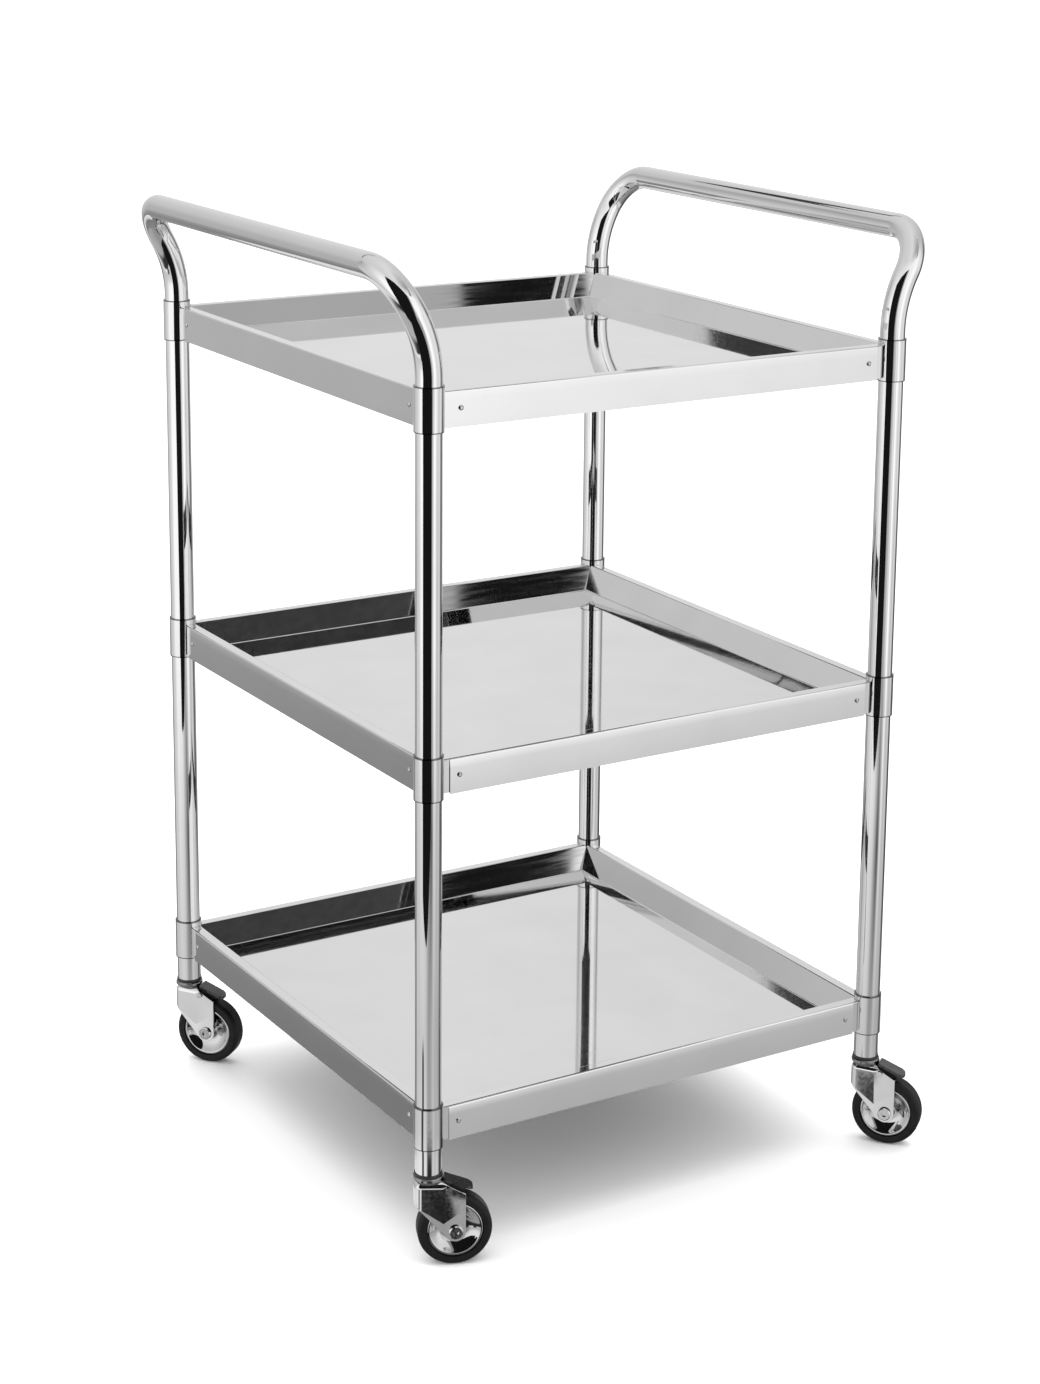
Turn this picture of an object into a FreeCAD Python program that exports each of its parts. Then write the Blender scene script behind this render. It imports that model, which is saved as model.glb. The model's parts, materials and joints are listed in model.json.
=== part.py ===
import FreeCAD, Part
import math
import os

import Sketcher
from FreeCAD import Placement, Rotation, Vector

# Three-tier trolley: four tube posts carry three pressed trays in riveted corner clamps, with a
# bent tube handle at each end and a braked swivel caster under every post.
# Frame: origin on the floor at the centre of the plan, +Z up, +X towards the right handle,
# +Y towards the rear long side. Millimetres and degrees.

SIZES = {
    # frame
    "tube_diameter": 25.0,
    "tube_wall": 1.2,
    "post_pitch_x": 515.0,
    "post_pitch_y": 535.0,
    "post_foot_height": 93.0,
    "slip": 0.05,                 # radial clearance of plugs and running fits
    "gap": 0.3,                   # clearance between parts that move past each other
    # trays
    "lowest_clamp_top": 160.0,
    "tray_pitch": 340.0,
    "tray_below_clamp": 6.0,
    "tray_overhang": 3.4,         # from a post axis to the skirt's outer face
    "sheet": 1.0,
    "skirt_height": 33.75,
    "shoulder_height": 9.0,
    "shoulder_inset": 0.5,
    "lip_width": 12.0,
    "recess_depth": 24.0,
    "recess_slope_run": 16.0,
    "skirt_end": 20.6,            # from a post axis to the cut end of the skirt
    # corner clamps and rivets
    "clamp_diameter": 28.0,
    "clamp_height": 41.5,
    "tab_height": 31.0,
    "tab_drop": 7.3,
    "tab_end": 40.0,
    "tab_thickness": 1.2,
    "rivet_distance": 30.5,
    "rivet_level": 17.5,          # above the skirt's lower edge
    "rivet_diameter": 2.4,
    "rivet_head_diameter": 5.0,
    "rivet_head_height": 1.3,
    "rivet_tail_share": 0.8,      # of the head's radius and, below, of its height
    "rivet_tail_flat": 0.6,
    # handles
    "handle_out": 35.5,
    "handle_rise": 102.5,
    "handle_lean": 28.0,
    "handle_arm_radius": 120.0,
    "handle_corner_radius": 44.0,
    "handle_joint_depth": 20.0,
    "plug_reach": 38.0,
    # casters: heights above the floor, distances behind the swivel axis
    "wheel_radius": 35.5,
    "wheel_width": 20.0,
    "tyre_thickness": 8.5,
    "tyre_rounding": 4.5,
    "trail": 24.5,
    "hub_boss_radius": 8.0,
    "hub_side_play": 1.0,
    "hub_web": 5.0,
    "hub_rim": 4.0,
    "hub_slope": 3.0,
    "hub_boss_slope": 2.0,
    "hub_rim_set_in": 0.8,
    "axle_radius": 3.0,
    "bolt_head_radius": 6.8,
    "bolt_head_height": 2.2,
    "bolt_chamfer": 1.0,
    "bolt_beyond_nut": 1.0,
    "socket_depth": 1.8,
    "socket_radius": 2.9,
    "nut_radius": 5.8,
    "nut_height": 4.0,
    "fork_width": 28.0,
    "fork_plate": 2.0,
    "fork_bend": 6.0,
    "fork_top": 85.5,
    "fork_front": 13.5,
    "fork_front_foot": 62.0,
    "fork_boss_radius": 9.5,
    "fork_crown_end": 12.0,
    "fork_rear_top": 72.5,
    "king_pin_radius": 5.0,
    "king_pin_head_radius": 7.5,
    "king_pin_head_height": 2.6,
    "flange_radius": 13.2,
    "plug_length": 34.0,
    "cup_radius": 14.3,
    "cup_height": 4.7,
    "cup_rounding": 1.4,
    "brake_pin_x": 18.0,
    "brake_pin_z": 78.3,
    "brake_pin_radius": 1.8,
    "brake_pin_head_radius": 2.9,
    "brake_pin_head_height": 0.9,
    "pedal_start": 15.6,
    "pedal_end": 42.0,
    "pedal_start_z": 84.1,
    "pedal_end_z": 73.6,
    "pedal_thickness": 3.0,
    "pedal_width": 16.0,
    "pedal_corner": 6.0,
    "shoe_width": 12.0,
    "shoe_z": 73.0,
    "shoe_end": 35.0,
    "shoe_bevel": 1.5,
}

CORNERS = {"front_left": (-1, -1), "rear_left": (-1, 1), "front_right": (1, -1), "rear_right": (1, 1)}
# Swivel of each caster as stored: direction in which its wheel trails, measured from +X.
SWIVEL = {"front_left": -22.0, "rear_left": -50.0, "front_right": -50.0, "rear_right": 50.0}
# Turn of each corner clamp, whose two tabs point along +X and +Y before it is turned.
CLAMP_TURN = {"front_left": 0, "front_right": 90, "rear_right": 180, "rear_left": 270}
TIERS = {"bottom": 0, "middle": 1, "top": 2}

doc = FreeCAD.newDocument("serving_trolley")
sheet = doc.addObject("Spreadsheet::Sheet", "Sizes")
for row, (alias, value) in enumerate(SIZES.items(), start=1):
    sheet.set(f"A{row}", alias)
    sheet.set(f"B{row}", str(value))
    sheet.setAlias(f"B{row}", alias)
doc.recompute()

nodes = []


def value(expression):
    """Number that an expression of the sheet's aliases gives now."""
    return float(sheet.evalExpression(expression))


def bind(thing, **expressions):
    """Bind properties to expressions; a double underscore in a name stands for a dot."""
    for name, expression in expressions.items():
        thing.setExpression(name.replace("__", "."), expression)


def new_node(kind, label, x="0", y="0", z="0", turn="0"):
    """Sub-part named label, placed at x, y, z and turned about +Z by the bound expressions."""
    thing = doc.addObject(kind, label)
    thing.Label = label
    thing.Placement = Placement(Vector(0, 0, 0), Rotation(Vector(0, 0, 1), 0))
    bind(thing, Placement__Base__x=x, Placement__Base__y=y, Placement__Base__z=z,
         Placement__Rotation__Angle=turn)
    nodes.append(thing)
    return thing


def new_sketch(body, plane, offset="0"):
    """Sketch on one of the body's own origin planes, moved along that plane's normal."""
    sketch = body.newObject("Sketcher::SketchObject", f"{body.Name}_sketch")
    origin_plane = next(f for f in body.Origin.OriginFeatures if f.Role == f"{plane}_Plane")
    sketch.AttachmentSupport = [(origin_plane, "")]
    sketch.MapMode = "FlatFace"
    bind(sketch, AttachmentOffset__Base__z=offset)
    return sketch


def pin_point(sketch, geometry, vertex, x, y):
    """Fix a point of the sketch at expressions x, y from the sketch's origin."""
    for kind, expression in (("DistanceX", x), ("DistanceY", y)):
        constraint = Sketcher.Constraint(kind, -1, 1, geometry, vertex, value(expression))
        index = sketch.addConstraint(constraint)
        sketch.setExpression(f"Constraints[{index}]", expression)


def draw_polygon(sketch, points):
    """Closed outline through points, each a pair of expressions."""
    corners = [Vector(value(x), value(y), 0) for x, y in points]
    first = sketch.GeometryCount
    for start, end in zip(corners, corners[1:] + corners[:1]):
        sketch.addGeometry(Part.LineSegment(start, end))
    for step, (x, y) in enumerate(points):
        before = first + (step - 1) % len(points)
        sketch.addConstraint(Sketcher.Constraint("Coincident", before, 2, first + step, 1))
        pin_point(sketch, first + step, 1, x, y)


def draw_rectangle(sketch, half_x, half_y):
    left, right = f"-({half_x})", half_x
    near, far = f"-({half_y})", half_y
    draw_polygon(sketch, [(left, near), (right, near), (right, far), (left, far)])


def draw_circle(sketch, radius, x="0", y="0"):
    centre = Vector(value(x), value(y), 0)
    index = sketch.addGeometry(Part.Circle(centre, Vector(0, 0, 1), value(radius)))
    pin_point(sketch, index, 3, x, y)
    constraint = sketch.addConstraint(Sketcher.Constraint("Radius", index, value(radius)))
    sketch.setExpression(f"Constraints[{constraint}]", radius)


def pad(body, sketch, length, midplane=False):
    feature = body.newObject("PartDesign::Pad", f"{body.Name}_pad")
    feature.Profile = sketch
    feature.Midplane = midplane
    bind(feature, Length=length)
    return feature


def cut(body, sketch, length, midplane=False):
    """Pocket that must remove material; it is turned round if it points away from the solid."""
    doc.recompute()
    before = body.Shape.Volume
    feature = body.newObject("PartDesign::Pocket", f"{body.Name}_pocket")
    feature.Profile = sketch
    feature.Midplane = midplane
    bind(feature, Length=length)
    doc.recompute()
    if body.Shape.Volume > before - 1e-3:
        feature.Reversed = True
        doc.recompute()
    if body.Shape.Volume > before - 1e-3:
        raise RuntimeError(f"{feature.Name} removes nothing")
    return feature


def revolve(body, sketch, axis):
    feature = body.newObject("PartDesign::Revolution", f"{body.Name}_turned")
    feature.Profile = sketch
    feature.ReferenceAxis = (sketch, [axis])
    feature.Angle = 360
    return feature


def loft(body, lower, upper, subtract=False):
    kind = "PartDesign::SubtractiveLoft" if subtract else "PartDesign::AdditiveLoft"
    feature = body.newObject(kind, f"{body.Name}_loft")
    feature.Profile = lower
    feature.Sections = [upper]
    feature.Ruled = True
    return feature


def round_edges(body, radius, chosen):
    """Fillet on every edge of the body for which chosen(edge) is true."""
    doc.recompute()
    base = body.Tip
    names = [f"Edge{i}" for i, edge in enumerate(base.Shape.Edges, start=1) if chosen(edge)]
    if not names:
        raise RuntimeError(f"{body.Name} has no such edge to round")
    feature = body.newObject("PartDesign::Fillet", f"{body.Name}_fillet")
    feature.Base = (base, names)
    bind(feature, Radius=radius)
    return feature


def circle_edge(edge, radius, tolerance=0.01):
    return isinstance(edge.Curve, Part.Circle) and abs(edge.Curve.Radius - radius) < tolerance


def post_x(corner):
    return f"{CORNERS[corner][0]} * Sizes.post_pitch_x / 2"


def post_y(corner):
    return f"{CORNERS[corner][1]} * Sizes.post_pitch_y / 2"


def clamp_top(tier):
    return f"Sizes.lowest_clamp_top + {TIERS[tier]} * Sizes.tray_pitch"


def skirt_foot(tier):
    return f"{clamp_top(tier)} - Sizes.tray_below_clamp - Sizes.skirt_height"


def add_post(corner):
    body = new_node("PartDesign::Body", f"post_{corner}", post_x(corner), post_y(corner),
                    "Sizes.post_foot_height")
    section = new_sketch(body, "XY")
    draw_circle(section, "Sizes.tube_diameter / 2")
    draw_circle(section, "Sizes.tube_diameter / 2 - Sizes.tube_wall")
    pad(body, section, f"{clamp_top('top')} - Sizes.handle_joint_depth - Sizes.post_foot_height")


def add_tray(tier):
    """Pressed tray: one sheet with skirt, leaning shoulder, flat lip, sloping walls, sunk floor."""
    body = new_node("PartDesign::Body", f"tray_{tier}", z=skirt_foot(tier))
    half_x = "(Sizes.post_pitch_x / 2 + Sizes.tray_overhang)"
    half_y = "(Sizes.post_pitch_y / 2 + Sizes.tray_overhang)"

    def level(height, inset):
        sketch = new_sketch(body, "XY", height)
        draw_rectangle(sketch, f"({half_x} - ({inset}))", f"({half_y} - ({inset}))")
        return sketch

    top = "Sizes.skirt_height"
    crease = "Sizes.skirt_height - Sizes.shoulder_height"
    floor = "Sizes.skirt_height - Sizes.recess_depth"
    floor_inset = "Sizes.lip_width + Sizes.recess_slope_run"
    slope = "atan(Sizes.recess_depth / Sizes.recess_slope_run)"
    wall = f"Sizes.sheet / sin({slope})"
    wall_foot = f"{floor_inset} + Sizes.sheet / tan({slope}) - {wall}"
    pad(body, level("0", "0"), crease)
    loft(body, level(crease, "0"), level(top, "Sizes.shoulder_inset"))
    cut(body, level("0", "Sizes.sheet"), "2 * (Sizes.skirt_height - Sizes.sheet)", midplane=True)
    loft(body, level(top, f"Sizes.lip_width - {wall}"), level(f"{floor} - Sizes.sheet", wall_foot))
    loft(body, level(top, "Sizes.lip_width"), level(floor, floor_inset), subtract=True)

    # Round notches let the corner clamps through.
    notches = new_sketch(body, "XY")
    for corner in CORNERS:
        draw_circle(notches, "Sizes.clamp_diameter / 2 + Sizes.gap", post_x(corner), post_y(corner))
    cut(body, notches, "3 * Sizes.skirt_height", midplane=True)

    # The skirt stops short of each clamp; only the lip runs on to it.
    ends = new_sketch(body, "XY")
    reach = "Sizes.tray_overhang + Sizes.skirt_end"
    depth = "Sizes.sheet + Sizes.gap"
    for side_x, side_y in CORNERS.values():
        out = "-Sizes.sheet"
        outline = [(out, out), (reach, out), (reach, depth), (depth, depth), (depth, reach), (out, reach)]
        draw_polygon(ends, [(f"{side_x} * ({half_x} - ({x}))", f"{side_y} * ({half_y} - ({y}))")
                            for x, y in outline])
    cut(body, ends, "2 * (Sizes.skirt_height - Sizes.sheet)", midplane=True)

    # Rivet holes, two in each side of the skirt.
    for plane, half, pitch in (("XZ", half_y, "post_pitch_x"), ("YZ", half_x, "post_pitch_y")):
        for side in (-1, 1):
            holes = new_sketch(body, plane, f"{side} * {half}")
            for end in (-1, 1):
                draw_circle(holes, "Sizes.rivet_diameter / 2",
                            f"{end} * (Sizes.{pitch} / 2 - Sizes.rivet_distance)", "Sizes.rivet_level")
            cut(body, holes, "4 * Sizes.sheet", midplane=True)


def add_clamp(tier, corner):
    """Collar round a post with two tabs that lie behind the skirts."""
    body = new_node("PartDesign::Body", f"clamp_{tier}_{corner}", post_x(corner), post_y(corner),
                    f"{clamp_top(tier)} - Sizes.clamp_height", str(CLAMP_TURN[corner]))
    ring = new_sketch(body, "XY")
    draw_circle(ring, "Sizes.clamp_diameter / 2")
    pad(body, ring, "Sizes.clamp_height")
    tab_foot = "Sizes.clamp_height - Sizes.tab_drop - Sizes.tab_height"
    tabs = new_sketch(body, "XY", tab_foot)
    outer = "-(Sizes.tray_overhang - Sizes.sheet)"
    inner = f"{outer} + Sizes.tab_thickness"
    draw_polygon(tabs, [(outer, outer), ("Sizes.tab_end", outer), ("Sizes.tab_end", inner), (inner, inner),
                        (inner, "Sizes.tab_end"), (outer, "Sizes.tab_end")])
    pad(body, tabs, "Sizes.tab_height")
    bore = new_sketch(body, "XY")
    draw_circle(bore, "Sizes.tube_diameter / 2 + Sizes.slip")
    cut(body, bore, "3 * Sizes.clamp_height", midplane=True)
    hole_level = "Sizes.clamp_height - Sizes.tray_below_clamp - Sizes.skirt_height + Sizes.rivet_level"
    for plane, side in (("XZ", -1), ("YZ", 1)):
        hole = new_sketch(body, plane, f"{side} * ({outer})")
        draw_circle(hole, "Sizes.rivet_diameter / 2", "Sizes.rivet_distance", hole_level)
        cut(body, hole, "4 * Sizes.tab_thickness", midplane=True)


def add_rivets():
    """Domed rivets through skirt and tab, all in one node."""
    rivet = doc.addObject("PartDesign::Body", "rivet")
    half = new_sketch(rivet, "XY")
    grip = "Sizes.sheet + Sizes.tab_thickness"
    shank = "Sizes.rivet_diameter / 2 - Sizes.slip"
    head = "Sizes.rivet_head_diameter / 2"
    dome = "Sizes.rivet_head_height"
    tail_end = f"{grip} + {dome} * Sizes.rivet_tail_flat"
    draw_polygon(half, [("0", f"-({dome})"), (f"{head} / 2", f"-({dome})"), (head, f"-({dome}) / 3"),
                        (head, "0"), (shank, "0"), (shank, grip), (f"{head} * Sizes.rivet_tail_share", grip),
                        (f"{head} * Sizes.rivet_tail_flat", tail_end), ("0", tail_end)])
    revolve(rivet, half, "V_Axis")
    links = []
    for tier in TIERS:
        height = f"{skirt_foot(tier)} + Sizes.rivet_level"
        for side in (-1, 1):
            for end in (-1, 1):
                along_x = f"{end} * (Sizes.post_pitch_x / 2 - Sizes.rivet_distance)"
                along_y = f"{end} * (Sizes.post_pitch_y / 2 - Sizes.rivet_distance)"
                face_x = f"{side} * (Sizes.post_pitch_x / 2 + Sizes.tray_overhang)"
                face_y = f"{side} * (Sizes.post_pitch_y / 2 + Sizes.tray_overhang)"
                for x, y, turn in ((along_x, face_y, 90 + 90 * side), (face_x, along_y, 90 * side)):
                    link = doc.addObject("App::Link", "rivet_copy")
                    link.LinkedObject = rivet
                    link.Placement = Placement(Vector(0, 0, 0), Rotation(Vector(0, 0, 1), 0))
                    bind(link, Placement__Base__x=x, Placement__Base__y=y, Placement__Base__z=height,
                         Placement__Rotation__Angle=str(turn))
                    links.append(link)
    new_node("Part::Compound", "tray_rivets").Links = links


def handle_path():
    """Centre line of the right handle: up from the front post, out, along the bar and back down."""
    lean = math.radians(value("Sizes.handle_lean"))
    arm_radius = value("Sizes.handle_arm_radius")
    corner = value("Sizes.handle_corner_radius")
    top = value(clamp_top("top"))
    x, y = value("Sizes.post_pitch_x / 2"), value("Sizes.post_pitch_y / 2")
    bar = Vector(x + value("Sizes.handle_out"), 0, top + value("Sizes.handle_rise"))
    up_arm = Vector(math.sin(lean), 0, math.cos(lean))
    straight = (value("Sizes.handle_out") - arm_radius * (1 - math.cos(lean))) / math.sin(lean)

    def arm(side):
        """Points of one arm from the post joint to the bar."""
        reach = bar + Vector(0, side * y, 0)
        leave = reach - up_arm * straight
        enter = Vector(x, side * y, leave.z - arm_radius * math.sin(lean))
        middle = Vector(x + arm_radius * (1 - math.cos(lean / 2)), side * y,
                        enter.z + arm_radius * math.sin(lean / 2))
        joint = Vector(x, side * y, top - value("Sizes.handle_joint_depth - Sizes.gap"))
        turn_in = reach - up_arm * corner
        turn_out = reach - Vector(0, side * corner, 0)
        centre = turn_in - Vector(0, side * corner, 0)
        turn_mid = centre + (reach - centre).normalize() * corner
        return [Part.LineSegment(joint, enter), Part.Arc(enter, middle, leave),
                Part.LineSegment(leave, turn_in), Part.Arc(turn_in, turn_mid, turn_out)], turn_out

    front, front_end = arm(-1)
    rear, rear_end = arm(1)
    edges = front + [Part.LineSegment(front_end, rear_end)] + rear[::-1]
    path = doc.addObject("Part::Feature", "handle_path")
    path.Shape = Part.Wire(Part.sortEdges([edge.toShape() for edge in edges])[0])
    return path


def add_handles():
    """Bent tube handles; the left one is the right one turned half round."""
    path = handle_path()
    spine = (path, [f"Edge{i + 1}" for i in range(len(path.Shape.Edges))])
    for label, turn in (("handle_right", "0"), ("handle_left", "180")):
        tubes = []
        for radius in ("Sizes.tube_diameter / 2", "Sizes.tube_diameter / 2 - Sizes.tube_wall"):
            ring = doc.addObject("Part::Circle", "handle_ring")
            bind(ring, Radius=radius, Placement__Base__x=post_x("front_right"),
                 Placement__Base__y=post_y("front_right"),
                 Placement__Base__z=f"{clamp_top('top')} - Sizes.handle_joint_depth + Sizes.gap")
            tube = doc.addObject("Part::Sweep", "handle_sweep")
            tube.Sections = [ring]
            tube.Spine = spine
            tube.Solid = True
            tube.Frenet = False
            tubes.append(tube)
        handle = new_node("Part::Cut", label, turn=turn)
        handle.Base, handle.Tool = tubes


def add_joining_plugs():
    """Solid plugs inside the tubes where the handles stand on the posts, all in one node."""
    plugs = []
    for corner in CORNERS:
        plug = doc.addObject("Part::Cylinder", f"plug_{corner}")
        bind(plug, Radius="Sizes.tube_diameter / 2 - Sizes.tube_wall - Sizes.slip",
             Height="Sizes.plug_reach",
             Placement__Base__x=post_x(corner),
             Placement__Base__y=post_y(corner),
             Placement__Base__z=f"{clamp_top('top')} - Sizes.handle_joint_depth - Sizes.plug_reach / 2")
        plugs.append(plug)
    new_node("Part::Compound", "handle_joining_plugs").Links = plugs


def caster_node(name, corner, behind="0", height="0"):
    """Body of one caster, its own +X pointing from the swivel axis towards the wheel."""
    turn = SWIVEL[corner]
    return new_node("PartDesign::Body", f"{name}_{corner}",
                    f"{post_x(corner)} + ({behind}) * cos({turn})",
                    f"{post_y(corner)} + ({behind}) * sin({turn})", height, str(turn))


def add_stem(corner):
    """Plug in the post, flange under the tube's end and king pin with its head below the fork."""
    body = caster_node("caster_stem", corner)
    half = new_sketch(body, "XZ")
    plug = "Sizes.tube_diameter / 2 - Sizes.tube_wall - Sizes.slip"
    flange_foot = "Sizes.fork_top + Sizes.cup_height + Sizes.gap"
    head_top = "Sizes.fork_top - Sizes.fork_plate - Sizes.gap"
    head_foot = f"{head_top} - Sizes.king_pin_head_height"
    plug_top = "Sizes.post_foot_height + Sizes.plug_length"
    draw_polygon(half, [("0", head_foot), ("Sizes.king_pin_head_radius", head_foot),
                        ("Sizes.king_pin_head_radius", head_top), ("Sizes.king_pin_radius", head_top),
                        ("Sizes.king_pin_radius", flange_foot), ("Sizes.flange_radius", flange_foot),
                        ("Sizes.flange_radius", "Sizes.post_foot_height"), (plug, "Sizes.post_foot_height"),
                        (plug, plug_top), ("0", plug_top)])
    revolve(body, half, "V_Axis")


def add_bearing_cup(corner):
    body = caster_node("swivel_bearing", corner, height="Sizes.fork_top")
    disc = new_sketch(body, "XY")
    draw_circle(disc, "Sizes.cup_radius")
    draw_circle(disc, "Sizes.king_pin_radius + Sizes.slip")
    pad(body, disc, "Sizes.cup_height")
    rim = value("Sizes.cup_radius")
    round_edges(body, "Sizes.cup_rounding", lambda edge: circle_edge(edge, rim))


def add_fork(corner):
    """Pressed fork: crown, front wall and two side plates that taper to the axle bosses."""
    body = caster_node("fork", corner)
    side = new_sketch(body, "XZ")
    rear = "Sizes.trail + Sizes.fork_boss_radius"
    boss_edge = "Sizes.fork_boss_radius * sqrt(0.5)"
    draw_polygon(side, [("-Sizes.fork_front", "Sizes.fork_front_foot"),
                        (f"Sizes.trail - {boss_edge}", f"Sizes.wheel_radius - {boss_edge}"),
                        ("Sizes.trail", "Sizes.wheel_radius"), (rear, "Sizes.wheel_radius"),
                        (rear, "Sizes.fork_rear_top"), ("Sizes.fork_crown_end", "Sizes.fork_top"),
                        ("-Sizes.fork_front", "Sizes.fork_top")])
    pad(body, side, "Sizes.fork_width", midplane=True)
    boss = new_sketch(body, "XZ")
    draw_circle(boss, "Sizes.fork_boss_radius", "Sizes.trail", "Sizes.wheel_radius")
    pad(body, boss, "Sizes.fork_width", midplane=True)
    half_width = value("Sizes.fork_width / 2")
    front = value("-Sizes.fork_front")
    top = value("Sizes.fork_top")

    def outer_bend(edge):
        """Long edges of the crown and upright edges of the front wall, at the side plates."""
        box = edge.BoundBox
        at_side = abs(abs(box.Center.y) - half_width) < 0.01 and box.YLength < 0.01
        return at_side and (box.ZMin > top - 0.01 or box.XMax < front + 0.01)

    round_edges(body, "Sizes.fork_bend", outer_bend)
    inside = new_sketch(body, "XZ")
    inner_front = "-Sizes.fork_front + Sizes.fork_plate"
    inner_top = "Sizes.fork_top - Sizes.fork_plate"
    crown_end = "Sizes.fork_crown_end + Sizes.gap"
    far = "2 * Sizes.pedal_end"
    above = "Sizes.fork_top + Sizes.fork_plate"
    draw_polygon(inside, [(inner_front, "0"), (far, "0"), (far, above), (crown_end, above),
                          (crown_end, inner_top), (inner_front, inner_top)])
    cut(body, inside, "Sizes.fork_width - 2 * Sizes.fork_plate", midplane=True)
    pin_hole = new_sketch(body, "XY", "Sizes.fork_top")
    draw_circle(pin_hole, "Sizes.king_pin_radius + Sizes.slip")
    cut(body, pin_hole, "4 * Sizes.fork_plate", midplane=True)
    cross_holes = new_sketch(body, "XZ")
    draw_circle(cross_holes, "Sizes.axle_radius + Sizes.slip", "Sizes.trail", "Sizes.wheel_radius")
    draw_circle(cross_holes, "Sizes.brake_pin_radius + Sizes.slip", "Sizes.brake_pin_x", "Sizes.brake_pin_z")
    cut(body, cross_holes, "2 * Sizes.fork_width", midplane=True)


def add_axle(corner):
    """Axle bolt with a socket head on the outside plate and a hexagon nut on the other."""
    half_width = "Sizes.fork_width / 2"
    bolt = caster_node("axle_bolt", corner, "Sizes.trail", "Sizes.wheel_radius")
    half = new_sketch(bolt, "XY")
    head_end = f"-({half_width} + Sizes.bolt_head_height)"
    tip = f"{half_width} + Sizes.nut_height + Sizes.bolt_beyond_nut"
    draw_polygon(half, [("0", head_end), ("Sizes.bolt_head_radius - Sizes.bolt_chamfer", head_end),
                        ("Sizes.bolt_head_radius", f"{head_end} + Sizes.bolt_chamfer"),
                        ("Sizes.bolt_head_radius", f"-{half_width}"), ("Sizes.axle_radius", f"-{half_width}"),
                        ("Sizes.axle_radius", tip), ("0", tip)])
    revolve(bolt, half, "V_Axis")
    socket = new_sketch(bolt, "XZ", f"-({head_end})")
    draw_hexagon(socket, "Sizes.socket_radius")
    cut(bolt, socket, "2 * Sizes.socket_depth", midplane=True)

    nut = caster_node("axle_nut", corner, "Sizes.trail", "Sizes.wheel_radius")
    outline = new_sketch(nut, "XZ", f"-({half_width} + Sizes.nut_height / 2)")
    draw_hexagon(outline, "Sizes.nut_radius")
    draw_circle(outline, "Sizes.axle_radius + Sizes.slip")
    pad(nut, outline, "Sizes.nut_height", midplane=True)


def draw_hexagon(sketch, radius):
    draw_polygon(sketch, [(f"({radius}) * cos({60 * i})", f"({radius}) * sin({60 * i})") for i in range(6)])


def add_wheel(corner):
    """Dished hub running on the axle, with the tyre round its rim."""
    hub = caster_node("wheel_hub", corner, "Sizes.trail", "Sizes.wheel_radius")
    half = new_sketch(hub, "XY")
    rim = "Sizes.wheel_radius - Sizes.tyre_thickness"
    boss = "Sizes.fork_width / 2 - Sizes.fork_plate - Sizes.hub_side_play"
    rim_inside = f"{rim} - Sizes.hub_rim"
    rim_face = "Sizes.wheel_width / 2 - Sizes.hub_rim_set_in"
    outside = [("Sizes.axle_radius + Sizes.slip", boss), ("Sizes.hub_boss_radius", boss),
               ("Sizes.hub_boss_radius + Sizes.hub_boss_slope", "Sizes.hub_web"),
               (f"{rim_inside} - Sizes.hub_slope", "Sizes.hub_web / 2"),
               (rim_inside, f"{rim_face} - Sizes.hub_rim_set_in"),
               (f"{rim_inside} + Sizes.hub_rim_set_in", rim_face),
               (rim, rim_face)]
    inside = [(x, f"-({y})") for x, y in reversed(outside)]
    draw_polygon(half, outside + inside)
    revolve(hub, half, "V_Axis")

    tyre = caster_node("tyre", corner, "Sizes.trail", "Sizes.wheel_radius")
    band = new_sketch(tyre, "XZ")
    draw_circle(band, "Sizes.wheel_radius")
    draw_circle(band, f"{rim} + Sizes.slip")
    pad(tyre, band, "Sizes.wheel_width", midplane=True)
    tread = value("Sizes.wheel_radius")
    round_edges(tyre, "Sizes.tyre_rounding", lambda edge: circle_edge(edge, tread))


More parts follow.
